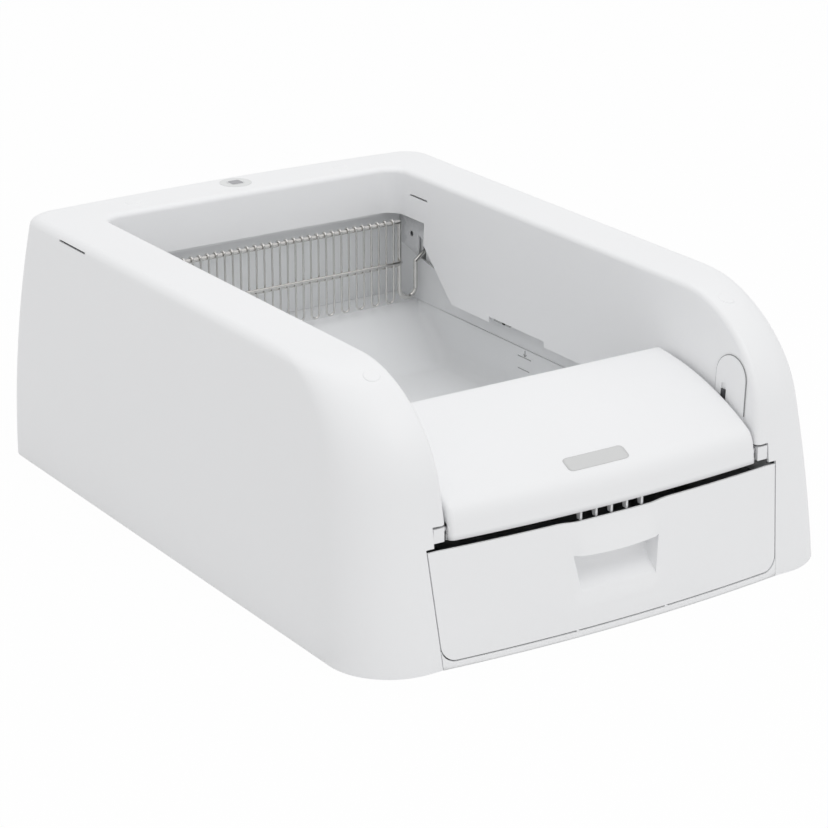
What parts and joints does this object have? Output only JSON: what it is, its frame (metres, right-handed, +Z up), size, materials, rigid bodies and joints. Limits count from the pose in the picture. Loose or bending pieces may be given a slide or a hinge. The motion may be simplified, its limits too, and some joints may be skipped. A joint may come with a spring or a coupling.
{
  "type": "self-cleaning litter box",
  "caption": "Low drafted casing over a litter tray, with a wire rake that sweeps along curved rails, a hinged waste lid and a pull-out waste drawer at the front.",
  "frame": {"origin": "centre of the footprint on the floor", "axes": "+X to the right seen from the front, +Y to the rear, +Z up; the drawer faces -Y"},
  "size_m": [0.53, 0.7159, 0.2534],
  "materials": {
    "white_plastic": "satin",
    "grey_plastic": "satin",
    "mid_grey_plastic": "satin",
    "dark_plastic": "satin",
    "rubber": "matte",
    "belt_rubber": "matte",
    "stainless": "polished",
    "steel": "satin",
    "board": "satin"
  },
  "bodies": {
    "frame": {"base_tray": "grey_plastic", "rubber_feet": "rubber", "frame_shell": "white_plastic", "rim_plugs": "white_plastic", "frame_screws": "steel", "rear_liner": "grey_plastic", "rail_left": "grey_plastic", "rail_right": "grey_plastic", "belt_left": "belt_rubber", "belt_right": "belt_rubber", "gearbox_case": "dark_plastic", "drive_motor": "steel", "control_board": "board", "button_bezel": "grey_plastic", "dc_inlet": "dark_plastic", "end_switches": "dark_plastic", "cat_sensors": "dark_plastic", "hinge_block_left": "grey_plastic", "hinge_block_right": "grey_plastic", "arch_plates": "white_plastic", "lid_catches": "mid_grey_plastic"},
    "rake": {"rake_frame": "stainless", "rake_tines": "stainless", "carriage_left": "grey_plastic", "carriage_right": "grey_plastic"},
    "lid": {"waste_lid": "white_plastic", "lid_hinge_pins": "steel"},
    "drawer": {"drawer_front": "white_plastic", "drawer_handle": "white_plastic", "drawer_bin": "grey_plastic"},
    "button": {"start_button": "mid_grey_plastic"},
    "drive": {"drive_shaft": "steel", "drive_pulley_left": "dark_plastic", "drive_pulley_right": "dark_plastic"}
  },
  "joints": [
    {"name": "rake_swing", "type": "hinge", "parent": "frame", "child": "rake", "pos_m": [0, 0.036, 1.1795], "axis": [1, 0, 0], "range_deg": [-24.04, 0]},
    {"name": "lid_open", "type": "hinge", "parent": "frame", "child": "lid", "pos_m": [0, -0.324, 0.122], "axis": [1, 0, 0], "range_deg": [0, 22]},
    {"name": "drawer_slide", "type": "slide", "parent": "frame", "child": "drawer", "axis": [0, -1, 0], "range_m": [0, 0.15]},
    {"name": "button_press", "type": "slide", "parent": "frame", "child": "button", "axis": [0, 0, -1], "range_m": [0, 0.001], "stiffness_N_per_m": 800},
    {"name": "drive_spin", "type": "hinge", "parent": "frame", "child": "drive", "pos_m": [0, 0.318, 0.1795], "axis": [1, 0, 0], "range_deg": [-5, 2063]}
  ],
  "couplings": [
    {"joint": "lid_open", "follows": "rake_swing", "ratio": -0.9149},
    {"joint": "drive_spin", "follows": "rake_swing", "ratio": -85.583}
  ]
}
